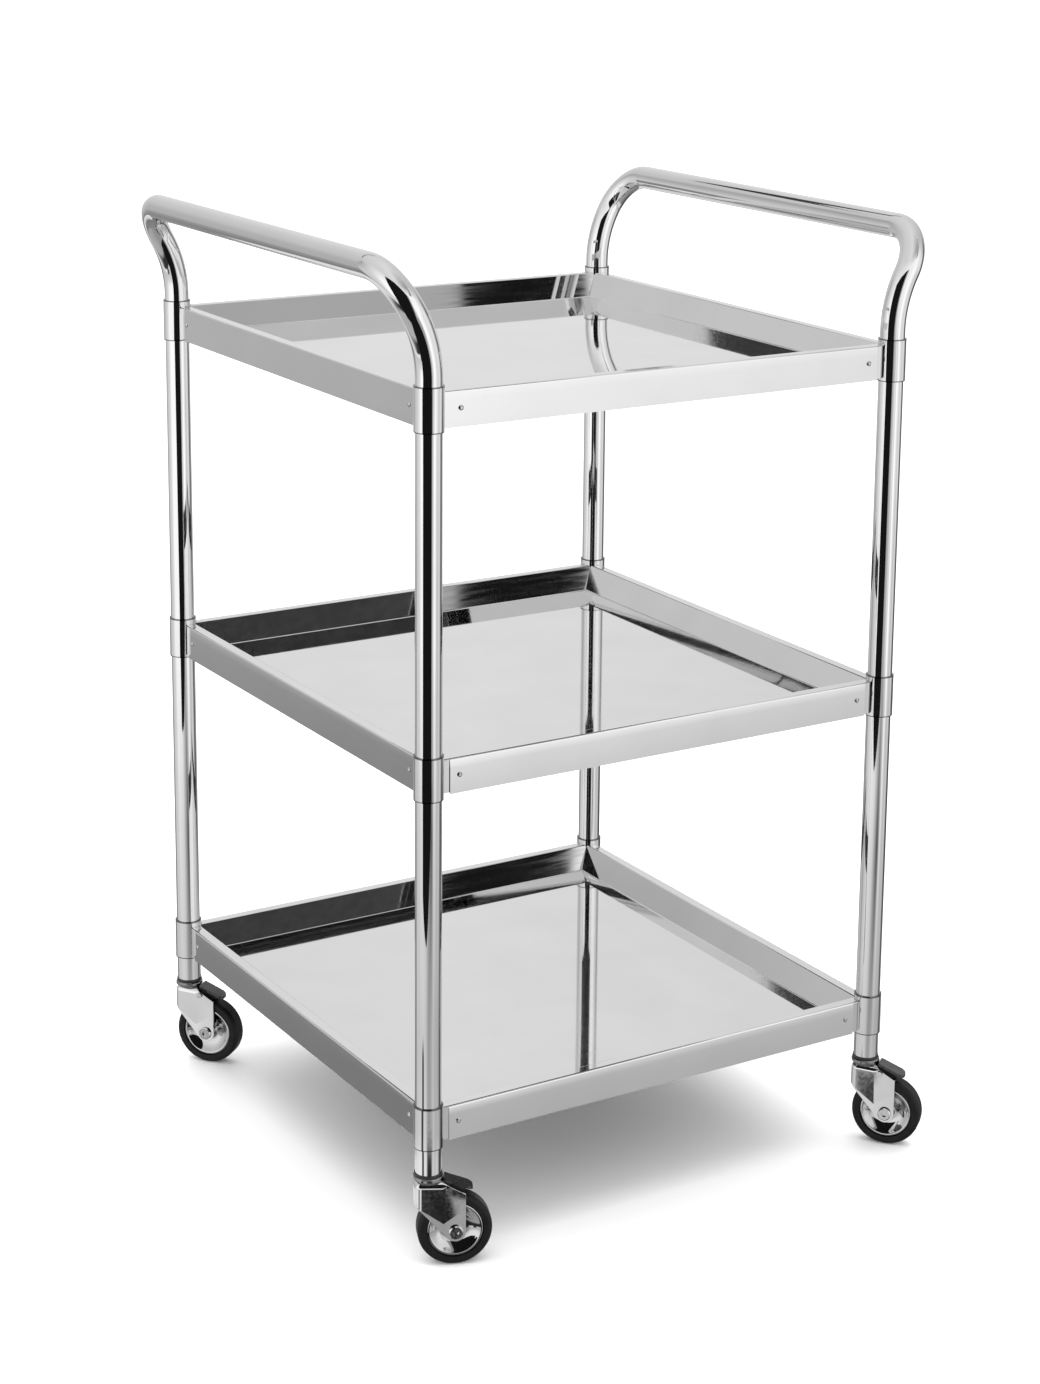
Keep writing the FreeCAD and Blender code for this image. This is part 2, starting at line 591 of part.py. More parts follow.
def add_brake(corner):
    """Foot pedal with a shoe above the tread, on a cross pin through the fork."""
    pedal = caster_node("brake_pedal", corner, "Sizes.brake_pin_x", "Sizes.brake_pin_z")

    def here(x, z):
        return f"{x} - Sizes.brake_pin_x", f"{z} - Sizes.brake_pin_z"

    plate = new_sketch(pedal, "XZ")
    thick = "Sizes.pedal_thickness"
    draw_polygon(plate, [here("Sizes.pedal_start", "Sizes.pedal_start_z"),
                         here("Sizes.pedal_end", "Sizes.pedal_end_z"),
                         here("Sizes.pedal_end", f"Sizes.pedal_end_z + {thick}"),
                         here("Sizes.pedal_start", f"Sizes.pedal_start_z + {thick}")])
    pad(pedal, plate, "Sizes.pedal_width", midplane=True)
    end = value("Sizes.pedal_end - Sizes.brake_pin_x")
    round_edges(pedal, "Sizes.pedal_corner",
                lambda edge: edge.BoundBox.XMin > end - 0.01 and edge.BoundBox.YLength < 0.01)
    shoe = new_sketch(pedal, "XZ")
    start = "Sizes.pedal_start - Sizes.shoe_bevel"
    inside_pedal = f"{thick} / 2"
    draw_polygon(shoe, [here(start, "Sizes.brake_pin_z - 2 * Sizes.shoe_bevel"),
                        here("Sizes.brake_pin_x", "Sizes.shoe_z + Sizes.shoe_bevel"),
                        here("Sizes.trail", "Sizes.shoe_z"),
                        here("Sizes.shoe_end - Sizes.shoe_bevel", "Sizes.shoe_z"),
                        here("Sizes.shoe_end", "Sizes.shoe_z + Sizes.shoe_bevel"),
                        here("Sizes.shoe_end", f"Sizes.pedal_end_z + {inside_pedal}"),
                        here("Sizes.pedal_start", f"Sizes.pedal_start_z + {inside_pedal}"),
                        here(start, "Sizes.pedal_start_z")])
    pad(pedal, shoe, "Sizes.shoe_width", midplane=True)
    bore = new_sketch(pedal, "XZ")
    draw_circle(bore, "Sizes.brake_pin_radius + Sizes.slip")
    cut(pedal, bore, "2 * Sizes.fork_width", midplane=True)

    pin = caster_node("brake_pin", corner, "Sizes.brake_pin_x", "Sizes.brake_pin_z")
    half = new_sketch(pin, "XY")
    side = "Sizes.fork_width / 2"
    far = f"{side} + Sizes.brake_pin_head_height"
    upper = [("Sizes.brake_pin_radius", side), ("Sizes.brake_pin_head_radius", side),
             ("Sizes.brake_pin_head_radius", far), ("0", far)]
    lower = [(x, f"-({y})") for x, y in reversed(upper)]
    draw_polygon(half, upper + lower)
    revolve(pin, half, "V_Axis")


for corner in CORNERS:
    add_post(corner)
add_handles()
add_joining_plugs()
for tier in TIERS:
    add_tray(tier)
    for corner in CORNERS:
        add_clamp(tier, corner)
add_rivets()
for corner in CORNERS:
    add_stem(corner)
    add_bearing_cup(corner)
    add_fork(corner)
    add_axle(corner)
    add_wheel(corner)
    add_brake(corner)
doc.recompute()

for thing in doc.Objects:
    if "Invalid" in thing.State or "Error" in thing.State:
        raise RuntimeError(f"{thing.Label} failed: {thing.State}")
for node in nodes:
    if node.Shape.isNull() or not node.Shape.isValid():
        raise RuntimeError(f"{node.Label} has no valid shape")

os.makedirs("parts", exist_ok=True)
for node in nodes:
    node.Shape.exportStep(os.path.join("parts", f"{node.Label}.step"))
print(f"{len(nodes)} sub-parts written")
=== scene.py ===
import json
import math

import bmesh
import bpy
from mathutils import Matrix, Vector


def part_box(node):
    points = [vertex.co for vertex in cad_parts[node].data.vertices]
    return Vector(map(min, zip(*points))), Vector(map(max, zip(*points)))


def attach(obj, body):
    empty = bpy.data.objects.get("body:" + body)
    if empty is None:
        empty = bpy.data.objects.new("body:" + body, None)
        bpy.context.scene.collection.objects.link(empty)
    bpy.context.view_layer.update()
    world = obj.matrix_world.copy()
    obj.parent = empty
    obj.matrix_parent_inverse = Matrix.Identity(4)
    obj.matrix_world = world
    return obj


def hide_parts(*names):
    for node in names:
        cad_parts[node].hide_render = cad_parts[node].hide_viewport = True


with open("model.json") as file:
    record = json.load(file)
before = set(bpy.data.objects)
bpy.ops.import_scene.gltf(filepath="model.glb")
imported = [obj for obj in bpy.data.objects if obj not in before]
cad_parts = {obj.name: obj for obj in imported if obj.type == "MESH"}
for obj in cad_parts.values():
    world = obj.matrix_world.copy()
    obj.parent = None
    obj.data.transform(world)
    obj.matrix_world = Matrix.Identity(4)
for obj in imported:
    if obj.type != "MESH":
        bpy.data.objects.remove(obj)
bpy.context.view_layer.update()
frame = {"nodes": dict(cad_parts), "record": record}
scene = bpy.context.scene
MM = 0.001

# Pressed trays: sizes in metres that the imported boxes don't give. The inset is measured from the
# skirt's outer face, the height from the lip.
SHEET = 1.0 * MM
SHOULDER = (0.5 * MM, 9.0 * MM)       # lean and height of the skirt's upper band
LIP_WIDTH = 12.0 * MM
RECESS = (16.0 * MM, 24.0 * MM)       # run and depth of the sloping walls
BEND_RADIUS = 1.8 * MM                # outside of each press bend
BEND_STEPS = 6
POST_INSET = 3.4 * MM                 # skirt face to post axis
NOTCH_RADIUS, NOTCH_SIDES = 14.3 * MM, 96
SKIRT_END = 24.0 * MM                 # skirt face to the cut end of the next skirt
CUT_MARGIN = 0.3 * MM                 # how far a cut goes past the sheet
SHARP_BEND = 28                       # degrees; gentler edges are smooth
UNDERSIDE = (-0.4, 1e-3)              # the floor's lower face, which gets painted shade: normal's height below, area above

# Bent handles.
HANDLE_LEAN = math.radians(28)
ARM_RADIUS = 120.0 * MM
CORNER_RADIUS = 44.0 * MM
TUBE_WALL = 1.2 * MM
TUBE_SIDES = 72
ARM_STEPS, CORNER_STEPS, BAR_STEPS = 14, 30, 8

# Forks: distances behind the swivel axis and heights above the floor.
CORNERS = ("front_left", "rear_left", "front_right", "rear_right")
TRAIL = 24.5 * MM
FORK_BOSS = 9.5 * MM
FORK_SHEET = 2.0 * MM
FORK_BEND = 6.5 * MM
FORK_FACET = 60e-6                    # square metres; the folds between facets this large stay sharp
FORK_HALF_WIDTH = 14.0 * MM
PLATE_INSET = 1.1 * MM                # side plate's middle facet behind the half width
NOSE_LEAN = math.tan(math.radians(7))
LEG_LEAN = math.tan(math.radians(3))
FORK_FRONT = -13.5 * MM
CROWN_END = 12.0 * MM
FRONT_FOOT = 62.0 * MM                # height of the front wall's lower edge
HEEL_HEIGHT, KNEE_HEIGHT = 72.5 * MM, 58.0 * MM
FOLD_FOOT = (12.9 * MM, 44.0 * MM)    # where the plate's two folds meet
SHIN = (12.9 * MM, 34.0 * MM)

# Wheel discs: radii and distances from the wheel's middle.
BORE = 3.05 * MM
HUB_BOSS = (8.0 * MM, 11.0 * MM, 0.8 * MM)        # radius, face, rounding
DISH_FOOT = (3.2 * MM, 1.4 * MM)                  # lowest level, rounding
DISH_POWER = 2.3                                  # how late the dish rises towards its rim
DISH_END = 1.0 * MM                               # below the rim's face
RIM_WIDTH, RIM_FACE = 4.4 * MM, 9.2 * MM
RIM_ROUNDING = (2.1 * MM, 1.8 * MM)               # inner and outer
RIM_FLAT = 2.6 * MM
HUB_TURNS = 120


# --- small helpers -----------------------------------------------------------------------------

def add_node(tree, kind, inputs=None, **settings):
    """Shader node with its settings and inputs; an input may be a number or another socket."""
    node = tree.nodes.new("ShaderNode" + kind)
    for name, setting in settings.items():
        setattr(node, name, setting)
    for socket, source in (inputs or {}).items():
        if isinstance(source, bpy.types.NodeSocket):
            tree.links.new(source, node.inputs[socket])
        else:
            node.inputs[socket].default_value = source
    return node


def maths(tree, operation, *terms):
    return add_node(tree, "Math", dict(enumerate(terms)), operation=operation).outputs[0]


def mixed(tree, factor, a, b):
    return add_node(tree, "Mix", {"Factor": factor, "A": a, "B": b}, data_type="RGBA").outputs[2]


def grey(level):
    return (level, level, level, 1.0)


def linear(display):
    """Scene radiance that the standard view shows at this display level, 0 to 1."""
    return display / 12.92 if display <= 0.04045 else ((display + 0.055) / 1.055) ** 2.4


def mesh_object(name, mesh):
    piece = bpy.data.objects.new(name, mesh)
    scene.collection.objects.link(piece)
    return piece


def mesh_from(name, bm):
    """New mesh with what bm holds; bm is freed."""
    mesh = bpy.data.meshes.new(name)
    bm.to_mesh(mesh)
    bm.free()
    return mesh


def smooth_by_angle(mesh, degrees):
    """Smooth faces, with the edges that turn by more than this angle left sharp."""
    bm = bmesh.new()
    bm.from_mesh(mesh)
    bmesh.ops.recalc_face_normals(bm, faces=bm.faces)
    for face in bm.faces:
        face.smooth = True
    for edge in bm.edges:
        edge.smooth = edge.calc_face_angle(math.pi) < math.radians(degrees)
    bm.to_mesh(mesh)
    bm.free()


def keep_flat(piece):
    """Shade large faces flat and leave the turn to the small faces beside them."""
    weighted = piece.modifiers.new("flat_faces_stay_flat", "WEIGHTED_NORMAL")
    weighted.keep_sharp = True


# --- materials ---------------------------------------------------------------------------------

CHROME_LEVEL = 0.80                   # mean reflectance of the polished metal
SEAM = 1.3 * MM                       # height of the painted shade line along a clamp's rims
SEAM_SHADE_SHARE = 0.85                      # share of the metal that the painted shade in the seam hides
# near-black level of the painted shade in the clamp seams
SEAM_SHADE_LEVEL = 0.02


def new_material(name):
    """New material with its node tree, its shader and the object's own coordinates."""
    material = bpy.data.materials.new(name)
    material.use_nodes = True
    tree = material.node_tree
    shader = tree.nodes["Principled BSDF"]
    place = add_node(tree, "TexCoord").outputs["Object"]
    return material, tree, shader, place


def noise(tree, place, size, detail=3.0, stretch=(1, 1, 1)):
    """Noise whose features are about size metres across, stretched along the axes."""
    mapping = add_node(tree, "Mapping", {"Vector": place, "Scale": [1 / (size * s) for s in stretch]})
    texture = add_node(tree, "TexNoise", {"Vector": mapping.outputs["Vector"], "Scale": 1.0,
                                          "Detail": detail})
    return texture.outputs["Fac"]


def spread(tree, factor, low, high, start=0.35, end=0.65):
    """Map the middle of a noise to the range low to high."""
    node = add_node(tree, "MapRange", {"Value": factor, "From Min": start, "From Max": end,
                                       "To Min": low, "To Max": high})
    return node.outputs["Result"]


def grey_ramp(tree, factor, low, high):
    """Grey that runs from low to high over the middle of a noise."""
    ramp = add_node(tree, "ValToRGB", {"Fac": factor})
    for end, position, level in zip(ramp.color_ramp.elements, (0.3, 0.7), (low, high)):
        end.position = position
        end.color = grey(level)
    return ramp.outputs["Color"]


def bump(tree, height, distance):
    node = add_node(tree, "Bump", {"Height": height, "Distance": distance, "Strength": 1.0})
    return node.outputs["Normal"]


def polished_metal(name, low, high, roughness, wave, grain_size, stretch=(1, 1, 1)):
    """Bright metal: slight tone change, polishing grain in the gloss and a very shallow wave."""
    material, tree, shader, place = new_material(name)
    shader.inputs["Metallic"].default_value = 1.0
    tone = noise(tree, place, 0.08)
    grain = noise(tree, place, grain_size, 4.0, stretch)
    tree.links.new(grey_ramp(tree, tone, low, high), shader.inputs["Base Color"])
    tree.links.new(spread(tree, grain, *roughness), shader.inputs["Roughness"])
    swell = noise(tree, place, 0.12, 1.0)
    tree.links.new(bump(tree, swell, wave), shader.inputs["Normal"])
    return material


def clamp_metal(name, low, high, roughness, wave, grain_size):
    """Polished metal with painted shade in the fine seams along the rims of the clamps, which repeat by tier.
    """
    material = polished_metal(name, low, high, roughness, wave, grain_size)
    tree = material.node_tree
    shader = tree.nodes["Principled BSDF"]
    low_rim, high_rim = (corner.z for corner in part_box("clamp_bottom_front_left"))
    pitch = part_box("clamp_middle_front_left")[0].z - low_rim
    middle = (high_rim - low_rim) / 2

    place = add_node(tree, "TexCoord").outputs["Object"]
    height = add_node(tree, "SeparateXYZ", {"Vector": place}).outputs["Z"]
    # painted shade: a thin dark line at each clamp rim, where the collar's step meets the tube
    above = maths(tree, "MODULO", maths(tree, "SUBTRACT", height, low_rim - SEAM), pitch)
    off = maths(tree, "ABSOLUTE", maths(tree, "SUBTRACT", above, middle + SEAM))
    seam_shade = add_node(tree, "MapRange", {"Value": off, "From Min": middle - SEAM, "From Max": middle - SEAM / 2,
                                       "To Min": 0.0, "To Max": SEAM_SHADE_SHARE})
    unshaded = shader.inputs["Base Color"].links[0].from_socket
    seam_shaded = mixed(tree, seam_shade.outputs["Result"], unshaded, grey(SEAM_SHADE_LEVEL))
    tree.links.new(seam_shaded, shader.inputs["Base Color"])
    return material


def dull_surface(name, low, high, roughness, bump_height, grain_size, coat=0.0, specular=0.5):
    """Moulded or painted surface with a fine grain."""
    material, tree, shader, place = new_material(name)
    shader.inputs["Specular IOR Level"].default_value = specular
    shader.inputs["Coat Weight"].default_value = coat
    shader.inputs["Coat Roughness"].default_value = 0.12
    tone = noise(tree, place, 0.012, 5.0)
    grain = noise(tree, place, grain_size, 5.0)
    tree.links.new(grey_ramp(tree, tone, low, high), shader.inputs["Base Color"])
    tree.links.new(spread(tree, grain, *roughness), shader.inputs["Roughness"])
    tree.links.new(bump(tree, grain, bump_height), shader.inputs["Normal"])
    return material


FINISHES = {
    "chromed_tube": polished_metal("chromed_tube", 0.78, 0.82, (0.02, 0.05), 0.03 * MM, 0.004, (1, 1, 20)),
    "mirror_sheet": polished_metal("mirror_sheet", 0.78, 0.82, (0.02, 0.05), 0.05 * MM, 0.004, (15, 1, 1)),
    # painted shade: the trays' lower faces are near-black, standing in for the shade under them, so the trays
    # below reflect them dark
    "tray_underside": dull_surface("tray_underside", 0.020, 0.035, (0.35, 0.50), 0.05 * MM, 0.0015),
    "chromed_fittings": clamp_metal("chromed_fittings", 0.74, 0.79, (0.03, 0.07), 0.03 * MM, 0.003),
    "rivets": polished_metal("rivets", 0.55, 0.70, (0.12, 0.25), 0.02 * MM, 0.002),
    "plain_steel": polished_metal("plain_steel", 0.40, 0.55, (0.25, 0.40), 0.02 * MM, 0.002),
    "dark_plug": dull_surface("dark_plug", 0.010, 0.020, (0.30, 0.45), 0.02 * MM, 0.0015),
    "caster_bearing": polished_metal("caster_bearing", 0.22, 0.34, (0.06, 0.12), 0.02 * MM, 0.003),
    "caster_fork": polished_metal("caster_fork", 0.74, 0.80, (0.03, 0.07), 0.03 * MM, 0.003),
    "bright_steel": polished_metal("bright_steel", 0.62, 0.74, (0.08, 0.16), 0.02 * MM, 0.002),
    "wheel_hub": polished_metal("wheel_hub", 0.52, 0.60, (0.03, 0.07), 0.02 * MM, 0.003),
    "tyre": dull_surface("tyre", 0.004, 0.008, (0.38, 0.52), 0.03 * MM, 0.0010, specular=0.25),
    "brake_pedal": dull_surface("brake_pedal", 0.012, 0.025, (0.18, 0.28), 0.02 * MM, 0.0012, coat=0.3),
}


# --- pressed trays -----------------------------------------------------------------------------

def bend_round(points, radius):
    """Replace each inner corner of a polyline with an arc; returns points with their normals."""
    rounded = []
    for before, corner, after in zip(points, points[1:], points[2:]):
        come = (corner - before).normalized()
        go = (after - corner).normalized()
        turn = come.angle_signed(go)
        setback = radius * math.tan(abs(turn) / 2)
        first = corner - come * setback
        side = 1 if turn > 0 else -1
        centre = first + Vector((come.y, -come.x)) * radius * side
        for step in range(BEND_STEPS + 1):
            swing = -turn * step / BEND_STEPS
            arm = Matrix.Rotation(swing, 2) @ (first - centre)
            rounded.append((centre + arm, arm.normalized() * side))
    return rounded


def tray_profile(height):
    """Top surface of the sheet from the skirt's foot to the floor, as (inset, height) and normal."""
    lean, band = SHOULDER
    run, depth = RECESS
    corners = [Vector((0, 0)), Vector((lean, height)), Vector((LIP_WIDTH, height)),
               Vector((LIP_WIDTH + run, height - depth)), Vector((2 * (LIP_WIDTH + run), height - depth))]
    outline = bend_round(corners, BEND_RADIUS)
    outward = Vector((-1, 0))
    return [(Vector((0, 0)), outward), (Vector((0, height - band)), outward)] + outline


def add_box(bm, low, high):
    size = high - low
    middle = Matrix.Translation((low + high) / 2)
    bmesh.ops.create_cube(bm, size=1.0, matrix=middle @ Matrix.Diagonal((*size, 1)))


def cut_from(piece, fill):
    """Subtract the solids that fill(bmesh) draws from the piece."""
    bm = bmesh.new()
    fill(bm)
    cutter = mesh_object("cutter", mesh_from("cutter", bm))
    knife = piece.modifiers.new("cut", "BOOLEAN")
    knife.operation = "DIFFERENCE"
    knife.solver = "EXACT"
    knife.object = cutter
    bpy.context.view_layer.update()
    done = bpy.data.meshes.new_from_object(piece.evaluated_get(bpy.context.evaluated_depsgraph_get()))
    piece.modifiers.clear()
    piece.data = done
    bpy.data.objects.remove(cutter)


def whole_sheet(name, low, high):
    """Mesh of a tray's skirt, lip, sloping walls and floor with rounded bends, before its corners are cut."""
    half = Vector((high.x, high.y))
    profile = tray_profile(high.z - low.z)
    over = [(point.x, low.z + point.y) for point, _ in profile]
    under = [((point - normal * SHEET).x, low.z + (point - normal * SHEET).y) for point, normal in profile]
    bm = bmesh.new()

    def ring(inset, level):
        return [bm.verts.new((sx * (half.x - inset), sy * (half.y - inset), level))
                for sx, sy in ((-1, -1), (1, -1), (1, 1), (-1, 1))]

    rings = [ring(*step) for step in reversed(under)] + [ring(*step) for step in over]
    for lower, upper in zip(rings, rings[1:]):
        for i in range(4):
            j = (i + 1) % 4
            bm.faces.new((lower[i], lower[j], upper[j], upper[i]))
    bm.faces.new(reversed(rings[0]))
    bm.faces.new(rings[-1])
    bmesh.ops.recalc_face_normals(bm, faces=bm.faces)
    return mesh_from(name, bm)


def pressed_tray(tier):
    """Pressed sheet of one tier, notched at the posts, with its skirt cut short at the corners."""
    low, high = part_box(f"tray_{tier}")
    name = f"pressed_tray_{tier}"
    piece = mesh_object(name, whole_sheet(name, low, high))
    half = Vector((high.x, high.y))
    post = half - Vector((POST_INSET, POST_INSET))
    corners = [(sx, sy) for sx in (-1, 1) for sy in (-1, 1)]

    def notches(cutter):
        for sx, sy in corners:
            place = Matrix.Translation((sx * post.x, sy * post.y, high.z))
            bmesh.ops.create_cone(cutter, cap_ends=True, segments=NOTCH_SIDES, radius1=NOTCH_RADIUS,
                                  radius2=NOTCH_RADIUS, depth=0.2, matrix=place)

    def skirt_ends(cutter):
        outside = half + Vector((2 * MM, 2 * MM))
        below, under_lip = low.z - 5 * MM, high.z - SHEET
        deep = SHEET + CUT_MARGIN
        for sx, sy in corners:
            for reach_x, reach_y in ((SKIRT_END, deep), (deep, SKIRT_END)):
                a = Vector((sx * outside.x, sy * outside.y, below))
                b = Vector((sx * (half.x - reach_x), sy * (half.y - reach_y), under_lip))
                add_box(cutter, Vector(map(min, a, b)), Vector(map(max, a, b)))

    cut_from(piece, notches)
    cut_from(piece, skirt_ends)
    smooth_by_angle(piece.data, SHARP_BEND)
    keep_flat(piece)
    piece.data.materials.clear()
    piece.data.materials.append(FINISHES["mirror_sheet"])
    piece.data.materials.append(FINISHES["tray_underside"])
    # painted shade: the large downward faces of the floor get the near-black underside material
    down, large = UNDERSIDE
    for face in piece.data.polygons:
        face.material_index = 1 if face.normal.z < down and face.area > large else 0
    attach(piece, "frame")
    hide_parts(f"tray_{tier}")


# --- bent handles ------------------------------------------------------------------------------

def handle_line(radius):
    """Centre line of the right handle, from the foot of its front arm to that of its rear arm."""
    low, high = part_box("handle_right")
    post_low, post_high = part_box("post_front_right")
    post = (post_low + post_high) / 2
    up_arm = Vector((math.sin(HANDLE_LEAN), 0, math.cos(HANDLE_LEAN)))
    reach = Vector((high.x - radius, post.y, high.z - radius))
    straight = (reach.x - post.x - ARM_RADIUS * (1 - math.cos(HANDLE_LEAN))) / math.sin(HANDLE_LEAN)
    leave = reach - up_arm * straight
    enter_height = leave.z - ARM_RADIUS * math.sin(HANDLE_LEAN)
    line = [Vector((post.x, post.y, low.z)), Vector((post.x, post.y, (low.z + enter_height) / 2))]
    for step in range(ARM_STEPS + 1):
        turn = HANDLE_LEAN * step / ARM_STEPS
        line.append(Vector((post.x + ARM_RADIUS * (1 - math.cos(turn)), post.y,
                            enter_height + ARM_RADIUS * math.sin(turn))))
    inward = Vector((0, 1, 0))
    centre = reach + (inward - up_arm) * CORNER_RADIUS
    for step in range(CORNER_STEPS + 1):
        turn = math.pi / 2 * step / CORNER_STEPS
        line.append(centre + (up_arm * math.sin(turn) - inward * math.cos(turn)) * CORNER_RADIUS)
    mirrored = [Vector((point.x, -point.y, point.z)) for point in reversed(line)]
    bar = [line[-1].lerp(mirrored[0], step / BAR_STEPS) for step in range(1, BAR_STEPS)]
    return line + bar + mirrored


def swept_tube(line, radius, wall):
    """Mesh of a tube along a line, with its ring carried along without twist."""
    tangents = [(after - before).normalized() for before, after in zip(line, line[1:])]
    directions = [tangents[0]]
    directions += [(a + b).normalized() for a, b in zip(tangents, tangents[1:])]
    directions.append(tangents[-1])
    turns = [2 * math.pi * k / TUBE_SIDES for k in range(TUBE_SIDES)]
    bm = bmesh.new()
    outer, inner = [], []
    across = Vector((0, 1, 0))
    for i, (point, along) in enumerate(zip(line, directions)):
        if i:
            across = directions[i - 1].rotation_difference(along) @ across
        third = along.cross(across).normalized()
        spokes = [across * math.cos(turn) + third * math.sin(turn) for turn in turns]
        outer.append([bm.verts.new(point + spoke * radius) for spoke in spokes])
        inner.append([bm.verts.new(point + spoke * (radius - wall)) for spoke in spokes])
    rings = outer + inner[::-1] + outer[:1]
    for lower, upper in zip(rings, rings[1:]):
        for k in range(TUBE_SIDES):
            j = (k + 1) % TUBE_SIDES
            bm.faces.new((lower[k], lower[j], upper[j], upper[k]))
    mesh = mesh_from("bent_tube", bm)
    smooth_by_angle(mesh, 40)
    return mesh


def bent_handles():
    post_low, post_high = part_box("post_front_right")
    radius = (post_high.x - post_low.x) / 2
    line = handle_line(radius)
    for side, turn in (("right", 1), ("left", -1)):
        mesh = swept_tube([Vector((turn * p.x, turn * p.y, p.z)) for p in line], radius, TUBE_WALL)
        mesh.materials.append(FINISHES["chromed_tube"])
        piece = mesh_object(f"bent_handle_{side}", mesh)
        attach(piece, "frame")
        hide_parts(f"handle_{side}")


# --- casters -----------------------------------------------------------------------------------

def caster_place(corner):
    """Matrix from a caster's own axes to the frame: X behind the swivel, Y along the axle."""
    joints = {joint["name"]: joint for joint in frame["record"]["behaviour"]["joints"]}
    across = Vector(joints[f"wheel_spin_{corner}"]["axis"])
    swivel = Vector(joints[f"swivel_{corner}"]["pos_m"])
    behind = across.cross(Vector((0, 0, 1)))
    turn = Matrix((behind, across, Vector((0, 0, 1)))).transposed().to_4x4()
    return Matrix.Translation((swivel.x, swivel.y, 0)) @ turn


def arc_points(centre, radius, start, end, steps):
    """Points on an arc, with angles in degrees."""
    angles = [math.radians(start + (end - start) * i / steps) for i in range(steps + 1)]
    return [(centre[0] + radius * math.cos(a), centre[1] + radius * math.sin(a)) for a in angles]


def dish_outline(rim):
    """Half section of the wheel disc, as (radius, distance from the middle plane)."""
    boss, boss_face, boss_rounding = HUB_BOSS
    dish_low, dish_rounding = DISH_FOOT
    inner, outer = RIM_ROUNDING
    rim_inside = rim - RIM_WIDTH
    dish_start = boss + dish_rounding
    rise = RIM_FACE - DISH_END - dish_low
    outline = [(BORE, boss_face)]
    outline += arc_points((boss - boss_rounding, boss_face - boss_rounding), boss_rounding, 90, 0, 4)
    outline += arc_points((dish_start, dish_low + dish_rounding), dish_rounding, 180, 270, 6)
    for step in range(1, 17):
        share = step / 16
        radius = dish_start + share * (rim_inside - dish_start)
        outline.append((radius, dish_low + rise * share ** DISH_POWER))
    outline += arc_points((rim_inside + inner, RIM_FACE - inner), inner, 135, 90, 6)
    outline += arc_points((rim - outer, RIM_FACE - outer), outer, 90, 20, 6)
    outline.append((rim, RIM_FACE - RIM_FLAT))
    return outline


def chromed_dish(corner):
    """Wheel disc: raised boss, hollow dish and rounded rim, turned about the axle."""
    tyre_low, tyre_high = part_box(f"tyre_{corner}")
    wheel_height = (tyre_low.z + tyre_high.z) / 2
    hub_low, hub_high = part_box(f"wheel_hub_{corner}")
    half = dish_outline((hub_high.z - hub_low.z) / 2)
    outline = half + [(r, -w) for r, w in reversed(half)]
    bm = bmesh.new()
    rings = []
    for k in range(HUB_TURNS):
        a = 2 * math.pi * k / HUB_TURNS
        rings.append([bm.verts.new((TRAIL + r * math.cos(a), w, wheel_height + r * math.sin(a)))
                      for r, w in outline])
    for k in range(HUB_TURNS):
        here, there = rings[k], rings[(k + 1) % HUB_TURNS]
        for i in range(len(outline)):
            j = (i + 1) % len(outline)
            bm.faces.new((here[i], here[j], there[j], there[i]))
    bm.transform(caster_place(corner))
    mesh = mesh_from(f"chromed_dish_{corner}", bm)
    smooth_by_angle(mesh, 33)
    mesh.materials.append(FINISHES["wheel_hub"])
    piece = mesh_object(f"chromed_dish_{corner}", mesh)
    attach(piece, f"wheel_{corner}")
    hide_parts(f"wheel_hub_{corner}")


def distance_from_line(point, start, end):
    """Distance of a point from a line, both in the plane of the side plate."""
    run, fall = end[0] - start[0], end[1] - start[1]
    return abs(run * (point[1] - start[1]) - fall * (point[0] - start[0])) / math.hypot(run, fall)


